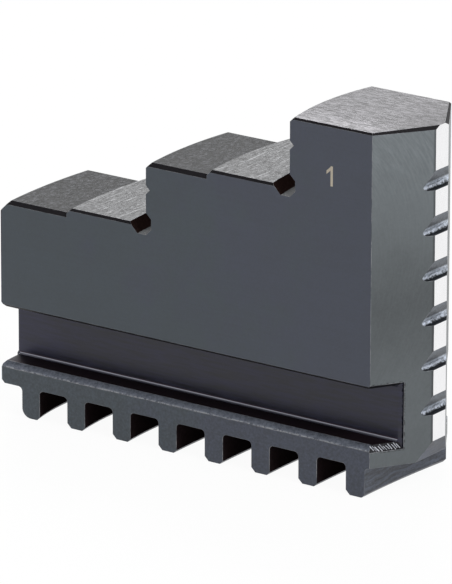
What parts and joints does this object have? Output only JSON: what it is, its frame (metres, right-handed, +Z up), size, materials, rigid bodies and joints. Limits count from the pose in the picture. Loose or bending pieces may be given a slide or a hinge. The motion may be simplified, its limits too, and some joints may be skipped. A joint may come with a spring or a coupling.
{
  "type": "stepped chuck jaw",
  "caption": "One-piece stepped hard jaw of a scroll chuck, with crescent scroll teeth, guide grooves, concentric gripping steps and a serrated V nose.",
  "frame": {"origin": "middle of the block's underside, level with the tooth tips", "axes": "+X along the chuck's radius, towards the serrated nose; +Y across the width; +Z up from the teeth towards the steps"},
  "size_m": [0.0864, 0.024, 0.0658],
  "materials": {
    "steel": "black-oxide steel, matte, with bright ground pads, top and nose"
  },
  "bodies": {
    "root": {"jaw": "steel"}
  },
  "joints": []
}
